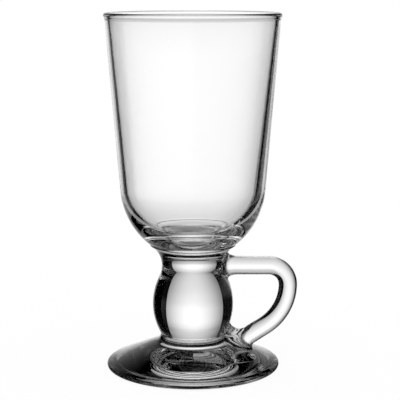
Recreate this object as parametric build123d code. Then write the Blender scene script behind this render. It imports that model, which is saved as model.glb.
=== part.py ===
from build123d import *
from math import asin, atan2, cos, degrees, hypot, radians, sin, sqrt, tan
import os

# Irish coffee mug of clear glass: bowl, stem, foot and handle, four gathers fused at flat seams.
# Millimetres and degrees. The mug's axis is Z, the table is z = 0 and the handle points along +X.

# Foot
FOOT_DIAMETER = 74.8
FOOT_HEIGHT = 14.2
FOOT_EDGE_THICKNESS = 1.7
FOOT_FLARE_RADIUS = 4.2
HOLLOW_DIAMETER = 66.0
HOLLOW_DEPTH = 1.8

# Stem, with the heights of its barrel and waist above the foot, and its neck and ring on top of those
BARREL_DIAMETER = 34.9
BARREL_HEIGHT = 13.0
WAIST_DIAMETER = 26.9
WAIST_HEIGHT = 29.8
NECK_HEIGHT = 8.9
JOINT_RING_DIAMETER = 37.2
JOINT_RING_HEIGHT = 1.2

# Bowl, with its height above the stem and its tapers from the vertical
BOWL_HEIGHT = 97.9
RIM_DIAMETER = 75.0
RIM_BEAD_THICKNESS = 2.5
RIM_BEAD_PROUD = 0.45
RIM_SWEEP_RADIUS = 3.0
BOWL_TAPER = 4.65
BOWL_CURVE_RADIUS = 33.0
BOWL_BASE_DIAMETER = 38.4
CAVITY_TAPER = 5.65
FLOOR_FLAT_DIAMETER = 9.0
FLOOR_THICKNESS = 2.2

# Handle, with the height of its top run above the foot and the slope of its tail from the horizontal
ROD_DIAMETER = 8.0
HANDLE_REACH = 45.1
HANDLE_TOP_HEIGHT = 29.7
TOP_BEND_RADIUS = 8.4
LOWER_BEND_RADIUS = 22.0
TAIL_SLOPE = 33.0
TAIL_LENGTH = 7.9
UPPER_BOSS_LENGTH = 6.4
BOSS_ROOT_DIAMETER = 14.0

# Fire polish of the two edges at the seam of stem and foot, and of the bowl's base
SEAM_POLISH_RADIUS = 0.4

# Levels of the seams, of the stem's swell and waist, and of the rim
foot_seam = FOOT_HEIGHT
barrel_level = foot_seam + BARREL_HEIGHT
waist_level = foot_seam + WAIST_HEIGHT
bowl_seam = waist_level + NECK_HEIGHT + JOINT_RING_HEIGHT
rim_top = bowl_seam + BOWL_HEIGHT

# Baluster of the stem: a convex barrel arc and a concave neck arc, tangent to each other
barrel_radius = BARREL_DIAMETER / 2
waist_radius = WAIST_DIAMETER / 2
ring_round = JOINT_RING_HEIGHT / 2
seam_radius = JOINT_RING_DIAMETER / 2 - ring_round
neck_swell = seam_radius - waist_radius
neck_arc = (neck_swell**2 + NECK_HEIGHT**2) / (2 * neck_swell)
neck_x = waist_radius + neck_arc
neck_offset = neck_x - barrel_radius
waist_rise = waist_level - barrel_level
barrel_arc = (neck_offset**2 + waist_rise**2 - neck_arc**2) / (2 * (neck_arc - neck_offset))
barrel_x = barrel_radius - barrel_arc
collar_radius = barrel_x + sqrt(barrel_arc**2 - BARREL_HEIGHT**2)


def polar(centre, radius, angle):
    """Point of the section at a radius and an angle about a centre."""
    return (centre[0] + radius * cos(radians(angle)), centre[1] + radius * sin(radians(angle)))


# Centreline of the handle, from the stem's boss round to the foot's boss
rod_radius = ROD_DIAMETER / 2
top_level = foot_seam + HANDLE_TOP_HEIGHT
side_level = top_level - TOP_BEND_RADIUS
side_x = HANDLE_REACH - rod_radius
upper_seam_x = waist_radius + UPPER_BOSS_LENGTH
top_bend = (side_x - TOP_BEND_RADIUS, side_level)
lower_bend = (side_x - LOWER_BEND_RADIUS, side_level)
tail_heading = 180 + TAIL_SLOPE
tail_start = polar(lower_bend, LOWER_BEND_RADIUS, tail_heading + 90)
tail_end = polar(tail_start, TAIL_LENGTH, tail_heading)


def on_section(point):
    """Point (radius, height) of the section in space."""
    return (point[0], 0, point[1])


def runs(*points):
    """Straight runs through points of the section."""
    return Polyline(*[on_section(point) for point in points])


def arc(centre, radius, start_angle, end_angle):
    """Arc of the section about a centre, between two angles."""
    angles = (start_angle, (start_angle + end_angle) / 2, end_angle)
    return ThreePointArc(*[on_section(polar(centre, radius, angle)) for angle in angles])


def turned(*edges):
    """Solid turned about the mug's axis from the closed outline of a half section."""
    return revolve(make_face(list(edges)), Axis.Z)


def polished(solid, order):
    """Solid whose lowest (0) or highest (-1) round edge is fire-polished."""
    return fillet(solid.edges().group_by(Axis.Z)[order], SEAM_POLISH_RADIUS)


def flared_boss(plane, length):
    """Boss that widens from the rod at its seam to its root in the glass behind it."""
    return plane * Pos(0, 0, length / 2) * Cone(rod_radius, BOSS_ROOT_DIAMETER / 2, length)


def build_hollow():
    """Dome-shaped hollow under the foot, together with the space below the table."""
    hollow_radius = HOLLOW_DIAMETER / 2
    dome_radius = (hollow_radius**2 + HOLLOW_DEPTH**2) / (2 * HOLLOW_DEPTH)
    dome_centre = (0, HOLLOW_DEPTH - dome_radius)
    dome_angle = degrees(asin(hollow_radius / dome_radius))
    dome = arc(dome_centre, dome_radius, 90, 90 - dome_angle)
    below = runs((FOOT_DIAMETER, 0), (FOOT_DIAMETER, -FOOT_HEIGHT), (0, -FOOT_HEIGHT))
    sides = (runs((hollow_radius, 0), (FOOT_DIAMETER, 0)), runs((0, -FOOT_HEIGHT), (0, HOLLOW_DEPTH)))
    return turned(dome, below, *sides)


def build_foot():
    """Trumpet-shaped foot with a rounded edge, hollow below, and the handle's lower boss."""
    edge_round = FOOT_EDGE_THICKNESS / 2
    edge = (FOOT_DIAMETER / 2 - edge_round, edge_round)
    flare = (collar_radius + FOOT_FLARE_RADIUS, foot_seam)
    across = edge[0] - flare[0]
    down = flare[1] - edge[1]
    slope = degrees(atan2(down, across) - asin((FOOT_FLARE_RADIUS + edge_round) / hypot(across, down)))
    body = turned(
        arc(flare, FOOT_FLARE_RADIUS, 180, 270 - slope),
        runs(polar(flare, FOOT_FLARE_RADIUS, 270 - slope), polar(edge, edge_round, 90 - slope)),
        arc(edge, edge_round, 90 - slope, -90),
        runs((edge[0], 0), (0, 0), (0, foot_seam), (collar_radius, foot_seam)),
    )
    root_x = collar_radius / 2
    length = (tail_end[0] - root_x) / cos(radians(TAIL_SLOPE))
    heading = on_section(polar((0, 0), 1, tail_heading))
    boss = flared_boss(Plane(on_section(tail_end), z_dir=heading), length)
    return polished(body, -1) + boss - build_hollow()


def build_stem():
    """Solid baluster with a joint ring on top and the handle's upper boss on its waist."""
    base_angle = -degrees(asin(BARREL_HEIGHT / barrel_arc))
    meeting_angle = degrees(atan2(waist_rise, neck_x - barrel_x))
    neck_top_angle = degrees(atan2(NECK_HEIGHT, seam_radius - neck_x))
    body = turned(
        arc((barrel_x, barrel_level), barrel_arc, base_angle, meeting_angle),
        arc((neck_x, waist_level), neck_arc, 180 + meeting_angle, neck_top_angle),
        arc((seam_radius, bowl_seam - ring_round), ring_round, -90, 90),
        runs((seam_radius, bowl_seam), (0, bowl_seam), (0, foot_seam), (collar_radius, foot_seam)),
    )
    root_x = waist_radius / 2
    boss = flared_boss(Plane((upper_seam_x, 0, top_level), z_dir=(-1, 0, 0)), upper_seam_x - root_x)
    return polished(body, 0) + boss


def build_bowl():
    """Tapered cup with a beaded rim and a rounded inside floor."""
    bead_radius = RIM_BEAD_THICKNESS / 2
    bead = (RIM_DIAMETER / 2 - bead_radius, rim_top - bead_radius)
    lean = radians(BOWL_TAPER)
    wall_top = (RIM_DIAMETER / 2 - RIM_BEAD_PROUD, bead[1])

    # Sweep under the bead: an arc that touches the wall from outside and the bead
    bead_depth = (wall_top[0] - bead[0]) * cos(lean)
    sweep_angle = asin((RIM_SWEEP_RADIUS + bead_depth) / (RIM_SWEEP_RADIUS + bead_radius))
    rim_sweep = polar(bead, RIM_SWEEP_RADIUS + bead_radius, degrees(sweep_angle) - 90 - BOWL_TAPER)

    # Curve of the base: an arc that touches the wall and ends at the corner of the base
    base = (BOWL_BASE_DIAMETER / 2, bowl_seam)
    base_depth = (wall_top[0] - base[0]) * cos(lean) - (wall_top[1] - base[1]) * sin(lean)
    base_along = (wall_top[0] - base[0]) * sin(lean) + (wall_top[1] - base[1]) * cos(lean)
    curve_along = base_along - sqrt(BOWL_CURVE_RADIUS**2 - (BOWL_CURVE_RADIUS - base_depth) ** 2)
    curve_start = polar(wall_top, curve_along, -90 - BOWL_TAPER)
    curve = polar(curve_start, BOWL_CURVE_RADIUS, 180 - BOWL_TAPER)
    base_angle = degrees(atan2(base[1] - curve[1], base[0] - curve[0]))

    # Cavity: a wall that touches the bead, an arc and a flat floor
    floor_level = bowl_seam + FLOOR_THICKNESS
    floor_radius = FLOOR_FLAT_DIAMETER / 2
    cavity_lean = radians(CAVITY_TAPER)
    mouth_radius = bead[0] - bead_radius / cos(cavity_lean)
    floor_reach = mouth_radius - (bead[1] - floor_level) * tan(cavity_lean) - floor_radius
    cavity_radius = floor_reach / (1 / cos(cavity_lean) - tan(cavity_lean))
    cavity = (floor_radius, floor_level + cavity_radius)

    body = turned(
        runs((floor_radius, floor_level), (0, floor_level), (0, bowl_seam), base),
        arc(curve, BOWL_CURVE_RADIUS, base_angle, -BOWL_TAPER),
        runs(curve_start, polar(rim_sweep, RIM_SWEEP_RADIUS, 180 - BOWL_TAPER)),
        arc(rim_sweep, RIM_SWEEP_RADIUS, 180 - BOWL_TAPER, degrees(sweep_angle) + 90 - BOWL_TAPER),
        arc(bead, bead_radius, degrees(sweep_angle) - 90 - BOWL_TAPER, 180 - CAVITY_TAPER),
        runs(polar(bead, bead_radius, 180 - CAVITY_TAPER), polar(cavity, cavity_radius, -CAVITY_TAPER)),
        arc(cavity, cavity_radius, -CAVITY_TAPER, -90),
    )
    return polished(body, 0)


def build_handle():
    """Bent round rod with square-cut ends."""
    start = on_section((upper_seam_x, top_level))
    path = Wire(
        [
            Line(start, on_section((top_bend[0], top_level))),
            arc(top_bend, TOP_BEND_RADIUS, 90, 0),
            arc(lower_bend, LOWER_BEND_RADIUS, 0, tail_heading + 90 - 360),
            Line(on_section(tail_start), on_section(tail_end)),
        ]
    )
    return sweep(Plane(start, z_dir=(1, 0, 0)) * Circle(rod_radius), path=path)


os.makedirs("parts", exist_ok=True)
export_step(build_foot(), "parts/foot.step")
export_step(build_stem(), "parts/stem.step")
export_step(build_bowl(), "parts/bowl.step")
export_step(build_handle(), "parts/handle.step")
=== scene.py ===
"""Looks of a clear glass Irish coffee mug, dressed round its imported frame.

Sizes are millimetres and angles are degrees. The meshes are shaped in millimetres and scaled to the frame's
metres at the end. +Z is up along the mug's axis and +X points from the axis to the handle.
"""
import logging
import math
from dataclasses import dataclass, field
from enum import Enum

import bmesh
import bpy
from mathutils import Matrix, Vector
from mathutils.bvhtree import BVHTree


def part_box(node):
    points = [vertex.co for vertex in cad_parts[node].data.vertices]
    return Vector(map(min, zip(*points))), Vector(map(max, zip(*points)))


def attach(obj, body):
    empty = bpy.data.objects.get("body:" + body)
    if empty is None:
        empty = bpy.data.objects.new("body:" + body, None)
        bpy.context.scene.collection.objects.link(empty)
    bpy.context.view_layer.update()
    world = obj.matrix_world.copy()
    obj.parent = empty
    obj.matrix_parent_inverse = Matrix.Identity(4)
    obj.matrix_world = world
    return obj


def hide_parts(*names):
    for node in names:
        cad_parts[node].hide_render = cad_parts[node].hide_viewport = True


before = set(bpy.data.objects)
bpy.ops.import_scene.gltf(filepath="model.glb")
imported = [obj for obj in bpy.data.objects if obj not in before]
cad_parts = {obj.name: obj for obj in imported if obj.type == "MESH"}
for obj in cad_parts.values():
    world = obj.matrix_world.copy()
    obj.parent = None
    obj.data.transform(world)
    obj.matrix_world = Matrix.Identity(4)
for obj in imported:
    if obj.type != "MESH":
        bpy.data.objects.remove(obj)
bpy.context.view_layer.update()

log = logging.getLogger("mug")

METRES = 0.001
ROOT_BODY = "root"
POLISH_LAYER = "polish"
TURN_STEPS = 192
ROD_SIDES = 96
NEAR = 1e-3
MERGE_DISTANCE = 1e-4

Point = tuple[float, float]
Curve = tuple[Vector, Vector, Vector, Vector]
Grade = tuple[tuple[float, float], ...]
Edges = list[bmesh.types.BMEdge]


class Surface(Enum):
    """Material slot of a face: polished glass, or a fused seam that light passes as if it were not there."""

    POLISHED = 0
    SEAM = 1


def millimetres(node: str) -> tuple[Vector, Vector]:
    """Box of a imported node.

    Args:
        node: Name of the node.

    Returns:
        Its lowest and highest corners, in millimetres.
    """
    low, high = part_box(node)
    return low / METRES, high / METRES


def polar(centre: Point, radius: float, angle: float) -> Point:
    """Point of a section at a radius and an angle about a centre.

    Args:
        centre: Centre, as radius and height.
        radius: Distance from the centre.
        angle: Angle from the outward direction, in degrees.

    Returns:
        The point, as radius and height.
    """
    turn = math.radians(angle)
    return (centre[0] + radius * math.cos(turn), centre[1] + radius * math.sin(turn))


@dataclass
class Outline:
    """Half section of a turned piece, drawn as runs and arcs from the axis back to the axis."""

    spacing: float = 0.8
    turn_per_step: float = 6.0
    points: list[Point] = field(default_factory=list)

    def to(self, radius: float, height: float, steps: int = 1) -> None:
        """Draws a straight run from the last point.

        Args:
            radius: Radius of the run's end.
            height: Height of the run's end.
            steps: Number of edges in the run.
        """
        if not self.points:
            self.points.append((radius, height))
            return
        start = self.points[-1]
        for step in range(1, steps + 1):
            share = step / steps
            across, rise = (radius - start[0]) * share, (height - start[1]) * share
            self.points.append((start[0] + across, start[1] + rise))

    def arc(self, centre: Point, radius: float, start: float, end: float) -> None:
        """Draws an arc about a centre.

        Args:
            centre: Centre of the arc.
            radius: Radius of the arc.
            start: Angle of its first point.
            end: Angle of its last point.
        """
        sweep = abs(end - start)
        length = math.radians(sweep) * radius
        steps = max(math.ceil(sweep / self.turn_per_step), math.ceil(length / self.spacing))
        for step in range(steps + 1):
            self.points.append(polar(centre, radius, start + (end - start) * step / steps))

    def turned(self, shape: bmesh.types.BMesh | None = None) -> bmesh.types.BMesh:
        """Turns the outline about the axis.

        Args:
            shape: Mesh that the turned shell is joined to, or None to start one.

        Returns:
            The mesh, with its normals outwards where it is closed.
        """
        shape = shape or bmesh.new()
        corners = [shape.verts.new((radius, 0, height)) for radius, height in self.points]
        edges = [shape.edges.new(pair) for pair in zip(corners, corners[1:])]
        bmesh.ops.spin(
            shape,
            geom=corners + edges,
            cent=(0, 0, 0),
            axis=(0, 0, 1),
            angle=math.tau,
            steps=TURN_STEPS,
            use_merge=True,
        )
        bmesh.ops.remove_doubles(shape, verts=shape.verts, dist=MERGE_DISTANCE)
        bmesh.ops.recalc_face_normals(shape, faces=shape.faces)
        return shape


def bare_material(name: str) -> bpy.types.Material:
    """Starts a material that has only its output.

    Args:
        name: Name of the material.

    Returns:
        The material.
    """
    material = bpy.data.materials.new(name)
    material.use_nodes = True
    material.node_tree.nodes.remove(material.node_tree.nodes["Principled BSDF"])
    return material


@dataclass(frozen=True)
class PolishedGlass:
    """Fire-polished clear glass, with the faint waves and film that handling leaves on it."""

    name: str = "polished_glass"
    colour: tuple[float, float, float, float] = (1.0, 1.0, 1.0, 1.0)
    refraction: float = 1.52
    film_roughness: float = 0.012
    film_scale: float = 55.0
    film_detail: float = 3.0
    film_start: float = 0.45
    film_full: float = 0.8
    wave_scale: float = 60.0
    wave_detail: float = 1.0
    wave_height: float = 0.00002

    def material(self) -> bpy.types.Material:
        """Makes the shader.

        Returns:
            The material.
        """
        material = bpy.data.materials.new(self.name)
        material.use_nodes = True
        nodes, links = material.node_tree.nodes, material.node_tree.links
        shader = nodes["Principled BSDF"]
        shader.inputs["Base Color"].default_value = self.colour
        shader.inputs["IOR"].default_value = self.refraction
        shader.inputs["Transmission Weight"].default_value = 1.0
        place = nodes.new("ShaderNodeTexCoord")

        film = nodes.new("ShaderNodeTexNoise")
        film.inputs["Scale"].default_value = self.film_scale
        film.inputs["Detail"].default_value = self.film_detail
        links.new(place.outputs["Object"], film.inputs["Vector"])
        haze = nodes.new("ShaderNodeMapRange")
        haze.inputs["From Min"].default_value = self.film_start
        haze.inputs["From Max"].default_value = self.film_full
        haze.inputs["To Max"].default_value = self.film_roughness
        links.new(film.outputs["Fac"], haze.inputs["Value"])
        links.new(haze.outputs["Result"], shader.inputs["Roughness"])

        wave = nodes.new("ShaderNodeTexNoise")
        wave.inputs["Scale"].default_value = self.wave_scale
        wave.inputs["Detail"].default_value = self.wave_detail
        links.new(place.outputs["Object"], wave.inputs["Vector"])
        bump = nodes.new("ShaderNodeBump")
        bump.inputs["Strength"].default_value = 1.0
        bump.inputs["Distance"].default_value = self.wave_height
        links.new(wave.outputs["Fac"], bump.inputs["Height"])
        links.new(bump.outputs["Normal"], shader.inputs["Normal"])
        return material


@dataclass(frozen=True)
class FusedSeam:
    """Face where two gathers are fused, which light passes straight."""

    name: str = "fused_seam"

    def material(self) -> bpy.types.Material:
        """Makes the shader.

        Returns:
            The material.
        """
        material = bare_material(self.name)
        nodes, links = material.node_tree.nodes, material.node_tree.links
        clear = nodes.new("ShaderNodeBsdfTransparent")
        links.new(clear.outputs["BSDF"], nodes["Material Output"].inputs["Surface"])
        return material


@dataclass
class GlassWorks:
    """Turns shaped meshes into finished pieces of the mug."""

    glass: bpy.types.Material
    seam: bpy.types.Material

    def finish(self, shape: bmesh.types.BMesh, name: str, node: str) -> bpy.types.Object:
        """Makes a piece of a shaped mesh and hands it to the frame.

        Args:
            shape: Closed mesh in millimetres, which is used up.
            name: Name of the piece.
            node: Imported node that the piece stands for.

        Returns:
            The piece.
        """
        bmesh.ops.recalc_face_normals(shape, faces=shape.faces)
        for face in shape.faces:
            face.smooth = face.material_index == Surface.POLISHED.value
        bmesh.ops.scale(shape, vec=(METRES, METRES, METRES), verts=shape.verts)
        polish = shape.verts.layers.float_vector[POLISH_LAYER]
        normals = [vert[polish].normalized() for vert in shape.verts]
        mesh = bpy.data.meshes.new(name)
        shape.to_mesh(mesh)
        shape.free()
        mesh.normals_split_custom_set_from_vertices(normals)
        mesh.materials.append(self.glass)
        mesh.materials.append(self.seam)
        piece = bpy.data.objects.new(name, mesh)
        bpy.context.scene.collection.objects.link(piece)
        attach(piece, ROOT_BODY)
        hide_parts(node)
        log.info("%s: %d faces", name, len(mesh.polygons))
        return piece


def mark_seam(shape: bmesh.types.BMesh, height: float, radius: float) -> None:
    """Marks the level faces of a turned mesh that lie on a fused seam.

    Args:
        shape: Mesh in millimetres.
        height: Height of the seam.
        radius: Radius of the seam.
    """
    for face in shape.faces:
        level = all(abs(vert.co.z - height) < NEAR for vert in face.verts)
        if level and all(vert.co.xy.length < radius + NEAR for vert in face.verts):
            face.material_index = Surface.SEAM.value


def store_polish(shape: bmesh.types.BMesh) -> None:
    """Keeps the normals of the polished faces at each vertex, so that seams and grafts leave them alone.

    Args:
        shape: Mesh in millimetres.
    """
    shape.normal_update()
    polish = shape.verts.layers.float_vector.new(POLISH_LAYER)
    for vert in shape.verts:
        loops = [loop for loop in vert.link_loops if loop.face.material_index == Surface.POLISHED.value]
        vert[polish] = sum((loop.face.normal * loop.calc_angle() for loop in loops), Vector())
        if not loops:
            vert[polish] = vert.normal


@dataclass
class Bowl:
    """Tapered cup with a beaded rim, blown a little off centre inside."""

    seam_radius: float
    bead_thickness: float = 2.5
    bead_proud: float = 0.45
    sweep_radius: float = 3.0
    taper: float = 4.65
    curve_radius: float = 33.0
    base_radius: float = 19.2
    base_polish: float = 0.4
    cavity_taper: float = 5.65
    floor_radius: float = 4.5
    floor_thickness: float = 2.2
    cavity_lean: float = 0.3
    wall_steps: int = 24
    seam: float = field(init=False)
    rim: float = field(init=False)
    rim_radius: float = field(init=False)

    def __post_init__(self) -> None:
        """Reads the bowl's height and rim from the frame."""
        low, high = millimetres("bowl")
        self.seam, self.rim, self.rim_radius = low.z, high.z, high.x

    def cavity(self) -> Outline:
        """Draws the half section of the cavity, from the inside floor to the bead.

        Returns:
            The outline.
        """
        bead_radius = self.bead_thickness / 2
        bead = (self.rim_radius - bead_radius, self.rim - bead_radius)
        floor = self.seam + self.floor_thickness
        lean = math.radians(self.cavity_taper)
        mouth = bead[0] - bead_radius / math.cos(lean)
        reach = mouth - (bead[1] - floor) * math.tan(lean) - self.floor_radius
        cavity_radius = reach / (1 / math.cos(lean) - math.tan(lean))

        line = Outline()
        line.to(0, floor)
        line.arc((self.floor_radius, floor + cavity_radius), cavity_radius, -90, -self.cavity_taper)
        line.to(*polar(bead, bead_radius, 180 - self.cavity_taper), steps=self.wall_steps)
        return line

    def outside(self) -> Outline:
        """Draws the half section of the outside, from the bead to the seam.

        Returns:
            The outline.
        """
        bead_radius = self.bead_thickness / 2
        bead = (self.rim_radius - bead_radius, self.rim - bead_radius)
        lean = math.radians(self.taper)
        wall_top = (self.rim_radius - self.bead_proud, bead[1])
        bead_depth = (wall_top[0] - bead[0]) * math.cos(lean)
        sweep_angle = math.degrees(
            math.asin((self.sweep_radius + bead_depth) / (self.sweep_radius + bead_radius))
        )
        sweep = polar(bead, self.sweep_radius + bead_radius, sweep_angle - 90 - self.taper)

        base = (self.base_radius, self.seam)
        across, rise = wall_top[0] - base[0], wall_top[1] - base[1]
        base_depth = across * math.cos(lean) - rise * math.sin(lean)
        base_along = across * math.sin(lean) + rise * math.cos(lean)
        curve_along = base_along - math.sqrt(self.curve_radius**2 - (self.curve_radius - base_depth) ** 2)
        curve = polar(polar(wall_top, curve_along, -90 - self.taper), self.curve_radius, 180 - self.taper)
        polish = (self.base_radius - 2 * self.base_polish, self.seam + self.base_polish)
        base_angle = math.degrees(math.atan2(base[1] + self.base_polish - curve[1], base[0] - curve[0]))

        line = Outline()
        line.arc(bead, bead_radius, 180 - self.cavity_taper, sweep_angle - 90 - self.taper)
        line.arc(sweep, self.sweep_radius, sweep_angle + 90 - self.taper, 180 - self.taper)
        line.to(*polar(curve, self.curve_radius, -self.taper), steps=self.wall_steps)
        line.arc(curve, self.curve_radius, -self.taper, base_angle)
        line.arc(polish, self.base_polish, base_angle, -90)
        line.to(self.seam_radius, self.seam)
        line.to(0, self.seam)
        return line

    def build(self, works: GlassWorks) -> None:
        """Builds the bowl.

        Args:
            works: Finisher of the pieces.
        """
        shape = self.cavity().turned()
        lean = math.tan(math.radians(self.cavity_lean))
        mouth = max(vert.co.z for vert in shape.verts)
        for vert in shape.verts:
            vert.co.x -= lean * (mouth - vert.co.z)
        self.outside().turned(shape)
        mark_seam(shape, self.seam, self.seam_radius)
        store_polish(shape)
        works.finish(shape, "bowl_glass", "bowl")


@dataclass
class Flare:
    """Smooth flare where a rod is fused to the glass that it meets."""

    seam: Vector
    heading: Vector
    rod_radius: float
    side_spread: float
    upper_spread: float
    lower_spread: float
    fullness: float = 0.4
    rings: int = 14
    margin: float = 0.5
    slope_step: float = 0.01
    across: Vector = field(init=False)
    lift: Vector = field(init=False)

    def __post_init__(self) -> None:
        """Sets the two directions across the rod."""
        self.across = Vector((0, 1, 0))
        self.lift = self.across.cross(self.heading)

    def spread(self, angle: float) -> float:
        """Radius of the footprint at an angle round the rod.

        Args:
            angle: Angle from the across direction, in radians.

        Returns:
            Radius in millimetres.
        """
        rise = math.sin(angle)
        end = self.upper_spread if rise > 0 else self.lower_spread
        return self.side_spread + (end - self.side_spread) * rise**2

    def offset(self, angle: float, radius: float) -> Vector:
        """Offset from the rod's axis.

        Args:
            angle: Angle round the rod, in radians.
            radius: Distance from the axis.

        Returns:
            The offset.
        """
        return (self.across * math.cos(angle) + self.lift * math.sin(angle)) * radius

    def covers(self, vert: bmesh.types.BMVert) -> bool:
        """Whether the footprint covers a vertex.

        Args:
            vert: Vertex of the mesh that the rod meets.

        Returns:
            True inside the footprint and its margin, on the side that looks at the rod.
        """
        away = vert.co - self.seam
        if vert.co.x < 0 or vert.normal.dot(self.heading) > 0:
            return False
        side, rise = away.dot(self.across), away.dot(self.lift)
        return math.hypot(side, rise) < self.spread(math.atan2(rise, side)) + self.margin

    def graft(self, shape: bmesh.types.BMesh) -> None:
        """Opens a mesh under the footprint and draws the flare from there to the rod's end.

        Args:
            shape: Closed mesh in millimetres.
        """
        skin = BVHTree.FromBMesh(shape)
        angles = [math.tau * side / ROD_SIDES for side in range(ROD_SIDES)]
        curves = [self.curve(skin, angle) for angle in angles]
        inside = {vert for vert in shape.verts if self.covers(vert)}
        covered = {face for vert in inside for face in vert.link_faces}
        rim = {edge for face in covered for edge in face.edges if not covered.issuperset(edge.link_faces)}
        bmesh.ops.delete(shape, geom=list(covered), context="FACES")
        polish = shape.verts.layers.float_vector[POLISH_LAYER]
        ring = [shape.verts.new(curve[0]) for curve in curves]
        for side, vert in enumerate(ring):
            vert[polish] = self.normal(curves, side, 0)
        edges = [shape.edges.new((ring[i - 1], ring[i])) for i in range(ROD_SIDES)]
        bmesh.ops.triangle_fill(shape, use_beauty=True, edges=list(rim) + edges, normal=-self.heading)
        for step in range(1, self.rings + 1):
            grown = bmesh.ops.extrude_edge_only(shape, edges=edges)["geom"]
            edges = [part for part in grown if isinstance(part, bmesh.types.BMEdge)]
            fresh = {part for part in grown if isinstance(part, bmesh.types.BMVert)}
            edges = [edge for edge in edges if all(vert in fresh for vert in edge.verts)]
            ring = [next(e.other_vert(v) for e in v.link_edges if e.other_vert(v) in fresh) for v in ring]
            share = step / self.rings
            for side, vert in enumerate(ring):
                vert.co = self.along(curves[side], share)
                vert[polish] = self.normal(curves, side, share)
        cap = shape.faces.new(ring)
        cap.material_index = Surface.SEAM.value

    def curve(self, skin: BVHTree, angle: float) -> Curve:
        """Curve of the flare at an angle round the rod.

        Args:
            skin: Surface that the rod meets.
            angle: Angle round the rod, in radians.

        Returns:
            Four control points, from the footprint to the rod's end.
        """
        outward = self.offset(angle, 1.0)
        above = self.seam + outward * self.spread(angle) - self.heading * self.rod_radius
        start, normal, _, _ = skin.ray_cast(above, self.heading)
        inward = -outward
        tangent = (inward - normal * inward.dot(normal)).normalized()
        end = self.seam + outward * self.rod_radius
        reach = (end - start).length * self.fullness
        return start, start + tangent * reach, end + self.heading * reach, end

    def normal(self, curves: list[Curve], side: int, share: float) -> Vector:
        """Normal of the flare.

        Args:
            curves: Curves of the flare round the rod.
            side: Number of the curve.
            share: Place along the curve, from 0 to 1.

        Returns:
            The outward normal.
        """
        round_step = self.along(curves[(side + 1) % ROD_SIDES], share) - self.along(curves[side - 1], share)
        ahead = self.along(curves[side], share + self.slope_step)
        along_step = ahead - self.along(curves[side], share - self.slope_step)
        normal = round_step.cross(along_step).normalized()
        outward = self.offset(math.tau * side / ROD_SIDES, 1.0) - self.heading
        return normal if normal.dot(outward) > 0 else -normal

    @staticmethod
    def along(curve: Curve, share: float) -> Vector:
        """Point of a flare's curve.

        Args:
            curve: Four control points.
            share: Place along the curve, from 0 to 1.

        Returns:
            The point.
        """
        rest = 1 - share
        weights = (rest**3, 3 * rest**2 * share, 3 * rest * share**2, share**3)
        return sum((point * weight for point, weight in zip(curve, weights)), Vector())


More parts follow.
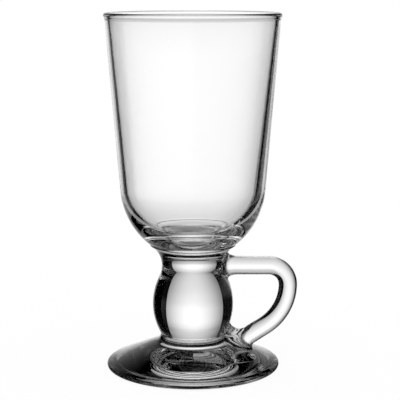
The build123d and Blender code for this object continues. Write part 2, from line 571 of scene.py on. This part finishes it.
@dataclass
class Handle:
    """Bent glass rod with square-cut ends."""

    top_bend: float = 8.4
    lower_bend: float = 22.0
    tail_slope: float = 33.0
    tail_length: float = 7.9
    bend_step: float = 3.0
    top_steps: int = 12
    tail_steps: int = 8
    rod_radius: float = field(init=False)
    upper_seam: Vector = field(init=False)
    lower_seam: Vector = field(init=False)
    tail_heading: Vector = field(init=False)
    side: float = field(init=False)
    bend_level: float = field(init=False)

    def __post_init__(self) -> None:
        """Reads the rod's thickness, reach and top from the frame."""
        low, high = millimetres("handle")
        self.rod_radius = high.y
        self.upper_seam = Vector((low.x, 0, high.z - self.rod_radius))
        self.side = high.x - self.rod_radius
        self.bend_level = self.upper_seam.z - self.top_bend
        slope = math.radians(self.tail_slope)
        self.tail_heading = Vector((-math.cos(slope), 0, -math.sin(slope)))
        turn = math.radians(self.tail_slope - 90)
        start = Vector((math.cos(turn), 0, math.sin(turn))) * self.lower_bend
        start += Vector((self.side - self.lower_bend, 0, self.bend_level))
        self.lower_seam = start + self.tail_heading * self.tail_length

    def build(self, works: GlassWorks) -> None:
        """Builds the rod: a straight top run, two bends and a straight tail.

        Args:
            works: Finisher of the pieces.
        """
        shape = bmesh.new()
        square = Matrix.Translation(self.upper_seam) @ Matrix.Rotation(math.radians(90), 4, "Y")
        ring = bmesh.ops.create_circle(
            shape, cap_ends=True, radius=self.rod_radius, segments=ROD_SIDES, matrix=square
        )["verts"]
        shape.faces.ensure_lookup_table()
        caps = [shape.faces[0]]
        tip = [edge for edge in shape.edges if all(vert in ring for vert in edge.verts)]
        run = self.side - self.top_bend - self.upper_seam.x
        tip = self.run(shape, tip, Vector((run, 0, 0)), self.top_steps)
        tip = self.bend(shape, tip, self.side - self.top_bend, 90)
        tip = self.bend(shape, tip, self.side - self.lower_bend, 90 - self.tail_slope)
        tip = self.run(shape, tip, self.tail_heading * self.tail_length, self.tail_steps)
        caps += bmesh.ops.edgeloop_fill(shape, edges=tip)["faces"]
        for cap in caps:
            cap.material_index = Surface.SEAM.value
        bmesh.ops.recalc_face_normals(shape, faces=shape.faces)
        store_polish(shape)
        works.finish(shape, "handle_glass", "handle")

    @staticmethod
    def run(shape: bmesh.types.BMesh, tip: Edges, move: Vector, steps: int) -> Edges:
        """Draws the rod on straight.

        Args:
            shape: Mesh of the rod.
            tip: Edges of its open end.
            move: Length and direction of the run.
            steps: Number of rings in the run.

        Returns:
            Edges of the new open end.
        """
        for _ in range(steps):
            grown = bmesh.ops.extrude_edge_only(shape, edges=tip)["geom"]
            fresh = [part for part in grown if isinstance(part, bmesh.types.BMVert)]
            bmesh.ops.translate(shape, vec=move / steps, verts=fresh)
            known = set(fresh)
            tip = [p for p in grown if isinstance(p, bmesh.types.BMEdge) and all(v in known for v in p.verts)]
        return tip

    def bend(self, shape: bmesh.types.BMesh, tip: Edges, centre: float, angle: float) -> Edges:
        """Bends the rod on about a centre at the bends' common level.

        Args:
            shape: Mesh of the rod.
            tip: Edges of its open end.
            centre: Distance of the bend's centre from the mug's axis.
            angle: Turn of the bend, downwards.

        Returns:
            Edges of the new open end.
        """
        verts = list({vert for edge in tip for vert in edge.verts})
        grown = bmesh.ops.spin(
            shape,
            geom=verts + tip,
            cent=(centre, 0, self.bend_level),
            axis=(0, 1, 0),
            angle=math.radians(angle),
            steps=math.ceil(angle / self.bend_step),
        )["geom_last"]
        return [part for part in grown if isinstance(part, bmesh.types.BMEdge)]


@dataclass
class Baluster:
    """Solid stem and spreading foot, turned as one and parted at their fused seam."""

    handle: Handle
    edge_thickness: float = 1.7
    flare_radius: float = 4.2
    hollow_radius: float = 33.0
    hollow_depth: float = 1.8
    hollow_power: float = 5.0
    hollow_steps: int = 40
    barrel_radius: float = 17.45
    barrel_rise: float = 13.0
    waist_radius: float = 13.45
    waist_rise: float = 29.8
    ring_height: float = 1.2
    ring_top_angle: float = 30.0
    groove_depth: float = 0.3
    rest_steps: int = 2
    slope_steps: int = 30
    upper_spread: float = 6.4
    lower_side_spread: float = 6.5
    lower_top_spread: float = 10.0
    lower_bottom_spread: float = 7.0
    foot_seam: float = field(init=False)
    bowl_seam: float = field(init=False)
    seam_radius: float = field(init=False)
    foot_radius: float = field(init=False)
    neck_top: float = field(init=False)
    ring_round: float = field(init=False)

    def __post_init__(self) -> None:
        """Reads the seams, the ring and the foot's edge from the frame."""
        low, high = millimetres("stem")
        self.foot_seam, self.bowl_seam = low.z, high.z
        self.ring_round = self.ring_height / 2
        self.neck_top = high.y - self.ring_round
        self.seam_radius = high.y - self.groove_depth
        self.foot_radius = millimetres("foot")[1].y

    def outline(self) -> Outline:
        """Draws the half section, from the hollow underside round the foot and up to the bowl's seam.

        Returns:
            The outline.
        """
        barrel_level = self.foot_seam + self.barrel_rise
        waist_level = self.foot_seam + self.waist_rise
        neck_height = self.bowl_seam - self.ring_height - waist_level
        neck_swell = self.neck_top - self.waist_radius
        neck_arc = (neck_swell**2 + neck_height**2) / (2 * neck_swell)
        neck = (self.waist_radius + neck_arc, waist_level)
        offset = neck[0] - self.barrel_radius
        rise = waist_level - barrel_level
        barrel_arc = (offset**2 + rise**2 - neck_arc**2) / (2 * (neck_arc - offset))
        barrel = (self.barrel_radius - barrel_arc, barrel_level)
        collar = barrel[0] + math.sqrt(barrel_arc**2 - self.barrel_rise**2)
        base_angle = -math.degrees(math.asin(self.barrel_rise / barrel_arc))
        meeting = math.degrees(math.atan2(rise, neck[0] - barrel[0]))
        neck_top = math.degrees(math.atan2(neck_height, self.neck_top - neck[0]))

        edge_round = self.edge_thickness / 2
        edge = (self.foot_radius - edge_round, edge_round)
        flare = (collar + self.flare_radius, self.foot_seam)
        across, down = edge[0] - flare[0], flare[1] - edge[1]
        slope = math.degrees(
            math.atan2(down, across) - math.asin((self.flare_radius + edge_round) / math.hypot(across, down))
        )

        line = Outline()
        for step in range(self.hollow_steps + 1):
            share = step / self.hollow_steps
            line.to(self.hollow_radius * share, self.hollow_depth * (1 - share**self.hollow_power))
        line.to(edge[0], 0, steps=self.rest_steps)
        line.arc(edge, edge_round, -90, 90 - slope)
        line.to(*polar(flare, self.flare_radius, 270 - slope), steps=self.slope_steps)
        line.arc(flare, self.flare_radius, 270 - slope, 180)
        line.arc(barrel, barrel_arc, base_angle, meeting)
        line.arc(neck, neck_arc, 180 + meeting, neck_top)
        ring = (self.neck_top, self.bowl_seam - self.ring_round)
        line.arc(ring, self.ring_round, -90, self.ring_top_angle)
        line.to(self.seam_radius, self.bowl_seam)
        line.to(0, self.bowl_seam)
        return line

    def flares(self) -> list[Flare]:
        """Flares of the handle's two ends.

        Returns:
            The upper flare on the waist and the lower one across the collar.
        """
        upper = Flare(
            seam=self.handle.upper_seam,
            heading=Vector((-1, 0, 0)),
            rod_radius=self.handle.rod_radius,
            side_spread=self.upper_spread,
            upper_spread=self.upper_spread,
            lower_spread=self.upper_spread,
        )
        lower = Flare(
            seam=self.handle.lower_seam,
            heading=self.handle.tail_heading,
            rod_radius=self.handle.rod_radius,
            side_spread=self.lower_side_spread,
            upper_spread=self.lower_top_spread,
            lower_spread=self.lower_bottom_spread,
        )
        return [upper, lower]

    def build(self, works: GlassWorks) -> None:
        """Builds the stem and the foot.

        Args:
            works: Finisher of the pieces.
        """
        whole = self.outline().turned()
        mark_seam(whole, self.bowl_seam, self.seam_radius)
        store_polish(whole)
        for flare in self.flares():
            flare.graft(whole)
        foot = whole.copy()
        self.part(whole, above=True)
        self.part(foot, above=False)
        works.finish(whole, "stem_glass", "stem")
        works.finish(foot, "foot_glass", "foot")

    def part(self, shape: bmesh.types.BMesh, above: bool) -> None:
        """Keeps one side of the seam of stem and foot, and closes it there.

        Args:
            shape: Mesh of stem and foot together.
            above: True for the stem's side.
        """
        cut = bmesh.ops.bisect_plane(
            shape,
            geom=shape.verts[:] + shape.edges[:] + shape.faces[:],
            dist=MERGE_DISTANCE,
            plane_co=(0, 0, self.foot_seam),
            plane_no=(0, 0, 1),
            clear_inner=above,
            clear_outer=not above,
        )["geom_cut"]
        edges = [part for part in cut if isinstance(part, bmesh.types.BMEdge)]
        filled = bmesh.ops.triangle_fill(shape, use_beauty=True, edges=edges, normal=(0, 0, 1))["geom"]
        for part in filled:
            if isinstance(part, bmesh.types.BMFace):
                part.material_index = Surface.SEAM.value


@dataclass(frozen=True)
class Backdrop:
    """Far lit backdrop that the glass shows, brightest behind the mug and dim to its sides.

    The radius and height are metres. A grade gives the light at angles above the horizon: rise for the light
    behind the mug, which fades to the sides but not straight below, and front_rise for the dim light from the
    left and the front left.
    """

    radius: float = 1.5
    dome_sides: int = 64
    dome_rings: int = 48
    centre_height: float = 0.045
    level: float = 1.16
    side_width: float = 22.0
    side_limit: float = 75.0
    steep_start: float = 42.0
    steep_end: float = 66.0
    rise: Grade = (
        (-80, 1.0), (-66, 0.85), (-54, 0.58), (-45, 0.54), (-34, 0.65), (-25, 0.73), (-16, 0.86), (-11, 0.98),
        (-5, 1.0), (-1, 1.0), (4, 0.84), (8, 0.62), (20, 0.48), (30, 0.32), (42, 0.0),
    )
    front_limit: float = 60.0
    front_rise: Grade = (
        (-40, 0.05), (-20, 0.2), (-12, 0.3), (-5, 0.3), (3, 0.05),
        (25, 0.05), (34, 0.3), (55, 0.3), (66, 0.0),
    )

    def material(self) -> bpy.types.Material:
        """Makes the backdrop's light, by direction from its centre.

        Returns:
            The material.
        """
        material = bare_material("backdrop")
        nodes, links = material.node_tree.nodes, material.node_tree.links
        light = nodes.new("ShaderNodeEmission")
        links.new(light.outputs["Emission"], nodes["Material Output"].inputs["Surface"])
        place = nodes.new("ShaderNodeTexCoord")
        unit = nodes.new("ShaderNodeVectorMath")
        unit.operation = "NORMALIZE"
        links.new(place.outputs["Object"], unit.inputs[0])
        parts = nodes.new("ShaderNodeSeparateXYZ")
        links.new(unit.outputs["Vector"], parts.inputs["Vector"])

        def reckon(operation: str, *values: float | bpy.types.NodeSocket) -> bpy.types.NodeSocket:
            """Adds one step of arithmetic to the shader.

            Args:
                operation: Name of the step.
                values: Numbers or sockets.

            Returns:
                Socket of the result.
            """
            step = nodes.new("ShaderNodeMath")
            step.operation = operation
            for socket, value in zip(step.inputs, values):
                if isinstance(value, (int, float)):
                    socket.default_value = value
                else:
                    links.new(value, socket)
            return step.outputs["Value"]

        side = reckon("ARCTAN2", reckon("ABSOLUTE", parts.outputs["X"]), parts.outputs["Y"])
        side = reckon("MULTIPLY", side, math.degrees(1))
        spread = reckon("DIVIDE", side, self.side_width * math.sqrt(2))
        fade = reckon("EXPONENT", reckon("MULTIPLY", reckon("MULTIPLY", spread, spread), -1.0))
        fade = reckon("MULTIPLY", fade, reckon("LESS_THAN", side, self.side_limit))
        height = reckon("MULTIPLY", reckon("ARCSINE", parts.outputs["Z"]), math.degrees(1))
        steep = nodes.new("ShaderNodeMapRange")
        steep.inputs["From Min"].default_value = -self.steep_start
        steep.inputs["From Max"].default_value = -self.steep_end
        links.new(height, steep.inputs["Value"])
        fade = reckon("MAXIMUM", fade, steep.outputs["Result"])
        share = reckon("DIVIDE", reckon("ADD", height, 90.0), 180.0)

        def graded(rise: Grade) -> bpy.types.NodeSocket:
            """Adds a grade of light by height.

            Args:
                rise: Angles above the horizon and the light there.

            Returns:
                Socket of the light.
            """
            ramp = nodes.new("ShaderNodeValToRGB")
            links.new(share, ramp.inputs["Fac"])
            stops = ramp.color_ramp.elements
            while len(stops) < len(rise):
                stops.new(0.5)
            for stop, (angle, value) in zip(stops, rise):
                stop.position = (angle + 90) / 180
                stop.color = (value, value, value, 1)
            return ramp.outputs["Color"]

        behind = reckon("MULTIPLY", fade, graded(self.rise))
        front = reckon("MULTIPLY", reckon("GREATER_THAN", side, self.front_limit), graded(self.front_rise))
        front = reckon("MULTIPLY", front, reckon("LESS_THAN", parts.outputs["X"], 0.0))
        links.new(reckon("MULTIPLY", reckon("ADD", behind, front), self.level), light.inputs["Strength"])
        return material


@dataclass
class Studio:
    """White floor, backdrop, flags and painted shades of a bright-field glass photograph, and the camera.

    floor_half is metres. floor_shadow is the share of the floor's white that a shadow can take away.
    """

    camera_distance: float = 535.0
    camera_height: float = 164.86
    camera_pitch: float = 9.797
    focal_pixels: float = 1267.3
    axis_pixel: float = 192.7
    picture_pixels: float = 400.0
    sensor: float = 36.0
    flag_left: float = 228.0
    flag_right: float = 180.0
    flag_behind: float = 323.0
    flag_reach: float = 3000.0
    foot_shade_radius: float = 37.2
    foot_shade_depth: float = 22.0
    stem_shade_level: float = 0.12
    stem_shade_dark: float = 10.0
    stem_shade_radius: float = 28.0
    floor_half: float = 30.0
    floor_drop: float = 0.3
    floor_shadow: float = 0.08
    light_bounces: int = 40
    backdrop: Backdrop = field(default_factory=Backdrop)
    camera: bpy.types.Object = field(init=False)

    def build(self) -> None:
        """Builds the set."""
        self.place_camera()
        self.light_world()
        self.lay_floor()
        self.hang_set()
        scene = bpy.context.scene
        scene.view_settings.view_transform = "Standard"
        scene.cycles.max_bounces = self.light_bounces
        scene.cycles.glossy_bounces = self.light_bounces
        scene.cycles.transmission_bounces = self.light_bounces
        scene.cycles.transparent_max_bounces = self.light_bounces

    def place_camera(self) -> None:
        """Stands the camera where the photograph was taken."""
        lens = bpy.data.cameras.new("camera")
        lens.sensor_width = self.sensor
        lens.lens = self.focal_pixels / self.picture_pixels * self.sensor
        self.camera = bpy.data.objects.new("camera", lens)
        pitch = math.radians(self.camera_pitch)
        depth = self.camera_distance * math.cos(pitch)
        aside = (self.picture_pixels / 2 - self.axis_pixel) / self.focal_pixels * depth
        self.camera.location = Vector((aside, -self.camera_distance, self.camera_height)) * METRES
        self.camera.rotation_euler = (math.radians(90) - pitch, 0, 0)
        bpy.context.scene.collection.objects.link(self.camera)
        bpy.context.scene.camera = self.camera

    def light_world(self) -> None:
        """Makes the world plain white to the camera and to the floor, and nothing to the glass."""
        world = bpy.data.worlds.new("studio")
        bpy.context.scene.world = world
        world.use_nodes = True
        nodes, links = world.node_tree.nodes, world.node_tree.links
        nodes["Background"].inputs["Color"].default_value = (1, 1, 1, 1)
        rays = nodes.new("ShaderNodeLightPath")
        seen = nodes.new("ShaderNodeMath")
        seen.operation = "MAXIMUM"
        links.new(rays.outputs["Is Camera Ray"], seen.inputs[0])
        links.new(rays.outputs["Is Diffuse Ray"], seen.inputs[1])
        links.new(seen.outputs["Value"], nodes["Background"].inputs["Strength"])

    def lay_floor(self) -> None:
        """Lays the white floor, which keeps a faint shadow of the mug."""
        shape = bmesh.new()
        bmesh.ops.create_grid(shape, x_segments=1, y_segments=1, size=self.floor_half)
        material = bare_material("white_floor")
        nodes, links = material.node_tree.nodes, material.node_tree.links
        glow = nodes.new("ShaderNodeEmission")
        glow.inputs["Strength"].default_value = 1 - self.floor_shadow
        paint = nodes.new("ShaderNodeBsdfDiffuse")
        paint.inputs["Color"].default_value = (self.floor_shadow, self.floor_shadow, self.floor_shadow, 1)
        both = nodes.new("ShaderNodeAddShader")
        links.new(glow.outputs["Emission"], both.inputs[0])
        links.new(paint.outputs["BSDF"], both.inputs[1])
        links.new(both.outputs["Shader"], nodes["Material Output"].inputs["Surface"])
        floor = self.stage_piece(shape, "floor", material)
        floor.location.z = -self.floor_drop * METRES
        floor.visible_transmission = False
        floor.visible_glossy = False

    def hang_set(self) -> None:
        """Hangs the backdrop, flags and painted shades on a stand that turns to the camera, as on a
        turntable.
        """
        stand = bpy.data.objects.new("turning_stand", None)
        bpy.context.scene.collection.objects.link(stand)
        follow = stand.constraints.new("LOCKED_TRACK")
        follow.target = self.camera
        follow.track_axis = "TRACK_NEGATIVE_Y"
        follow.lock_axis = "LOCK_Z"

        dome = bmesh.new()
        bmesh.ops.create_uvsphere(
            dome,
            u_segments=self.backdrop.dome_sides,
            v_segments=self.backdrop.dome_rings,
            radius=self.backdrop.radius,
        )
        backdrop = self.stage_piece(dome, "backdrop", self.backdrop.material())
        backdrop.location.z = self.backdrop.centre_height
        cards = [backdrop]
        # One black card makes both the flags and the ring of painted shade under the foot.
        black = self.plain_card("black_flag_and_painted_shade", 0.0)
        cards.append(self.flag(-self.flag_left - self.flag_reach / 2, "flag_left", black))
        cards.append(self.flag(self.flag_right + self.flag_reach / 2, "flag_right", black))
        cards.append(self.foot_shade(black))
        cards.append(self.stem_shade())
        for card in cards:
            card.parent = stand
            card.visible_camera = False
            card.visible_diffuse = False
            card.visible_shadow = False

    def flag(self, aside: float, name: str, black: bpy.types.Material) -> bpy.types.Object:
        """Stands a black flag beside the backdrop.

        Args:
            aside: Distance of the flag's middle from the axis, negative to the left.
            name: Name of the flag.
            black: Its material.

        Returns:
            The flag.
        """
        shape = bmesh.new()
        upright = Matrix.Rotation(math.radians(90), 4, "X")
        half = self.flag_reach / 2 * METRES
        bmesh.ops.create_grid(shape, x_segments=1, y_segments=1, size=half, matrix=upright)
        away = Vector((aside, self.flag_behind, 0)) * METRES
        bmesh.ops.translate(shape, vec=away, verts=shape.verts)
        return self.stage_piece(shape, name, black)

    def foot_shade(self, black: bpy.types.Material) -> bpy.types.Object:
        """Sinks a black ring of painted shade into the table under the foot's edge, so slanting light from
        there is dark.

        Args:
            black: Its material.

        Returns:
            The ring.
        """
        shape = bmesh.new()
        bmesh.ops.create_cone(
            shape,
            cap_ends=False,
            segments=TURN_STEPS,
            radius1=self.foot_shade_radius * METRES,
            radius2=self.foot_shade_radius * METRES,
            depth=self.foot_shade_depth * METRES,
            matrix=Matrix.Translation((0, 0, -self.foot_shade_depth / 2 * METRES)),
        )
        return self.stage_piece(shape, "shade_under_foot", black)

    def stem_shade(self) -> bpy.types.Object:
        """Lays a soft dark patch on the table under the stem: a painted shadow.

        Returns:
            The patch.
        """
        shape = bmesh.new()
        radius = self.stem_shade_radius * METRES
        bmesh.ops.create_circle(shape, cap_ends=True, radius=radius, segments=TURN_STEPS)
        return self.stage_piece(shape, "shade_under_stem", self.soft_shade())

    def soft_shade(self) -> bpy.types.Material:
        """Material of the painted shadow on the table under the stem, which fades out towards its edge.

        Returns:
            The material.
        """
        material = self.plain_card("soft_shade", self.stem_shade_level)
        nodes, links = material.node_tree.nodes, material.node_tree.links
        place = nodes.new("ShaderNodeTexCoord")
        away = nodes.new("ShaderNodeVectorMath")
        away.operation = "LENGTH"
        links.new(place.outputs["Object"], away.inputs[0])
        fade = nodes.new("ShaderNodeMapRange")
        fade.inputs["From Min"].default_value = self.stem_shade_dark * METRES
        fade.inputs["From Max"].default_value = self.stem_shade_radius * METRES
        links.new(away.outputs["Value"], fade.inputs["Value"])
        clear = nodes.new("ShaderNodeBsdfTransparent")
        both = nodes.new("ShaderNodeMixShader")
        links.new(fade.outputs["Result"], both.inputs["Fac"])
        links.new(nodes["Emission"].outputs["Emission"], both.inputs[1])
        links.new(clear.outputs["BSDF"], both.inputs[2])
        links.new(both.outputs["Shader"], nodes["Material Output"].inputs["Surface"])
        return material

    @staticmethod
    def plain_card(name: str, level: float) -> bpy.types.Material:
        """Material of a card that only glows.

        Args:
            name: Name of the material.
            level: Its brightness.

        Returns:
            The material.
        """
        material = bare_material(name)
        nodes, links = material.node_tree.nodes, material.node_tree.links
        light = nodes.new("ShaderNodeEmission")
        light.inputs["Strength"].default_value = level
        links.new(light.outputs["Emission"], nodes["Material Output"].inputs["Surface"])
        return material

    @staticmethod
    def stage_piece(shape: bmesh.types.BMesh, name: str, material: bpy.types.Material) -> bpy.types.Object:
        """Makes an object of the set.

        Args:
            shape: Its mesh, which is used up.
            name: Its name.
            material: Its material.

        Returns:
            The object.
        """
        mesh = bpy.data.meshes.new(name)
        shape.to_mesh(mesh)
        shape.free()
        mesh.materials.append(material)
        piece = bpy.data.objects.new(name, mesh)
        bpy.context.scene.collection.objects.link(piece)
        return piece


def main() -> None:
    """Builds the mug and its set."""
    logging.basicConfig(level=logging.INFO, format="%(name)s: %(message)s")
    works = GlassWorks(PolishedGlass().material(), FusedSeam().material())
    handle = Handle()
    baluster = Baluster(handle)
    Bowl(baluster.seam_radius).build(works)
    baluster.build(works)
    handle.build(works)
    Studio().build()


if __name__ == "__main__":
    main()
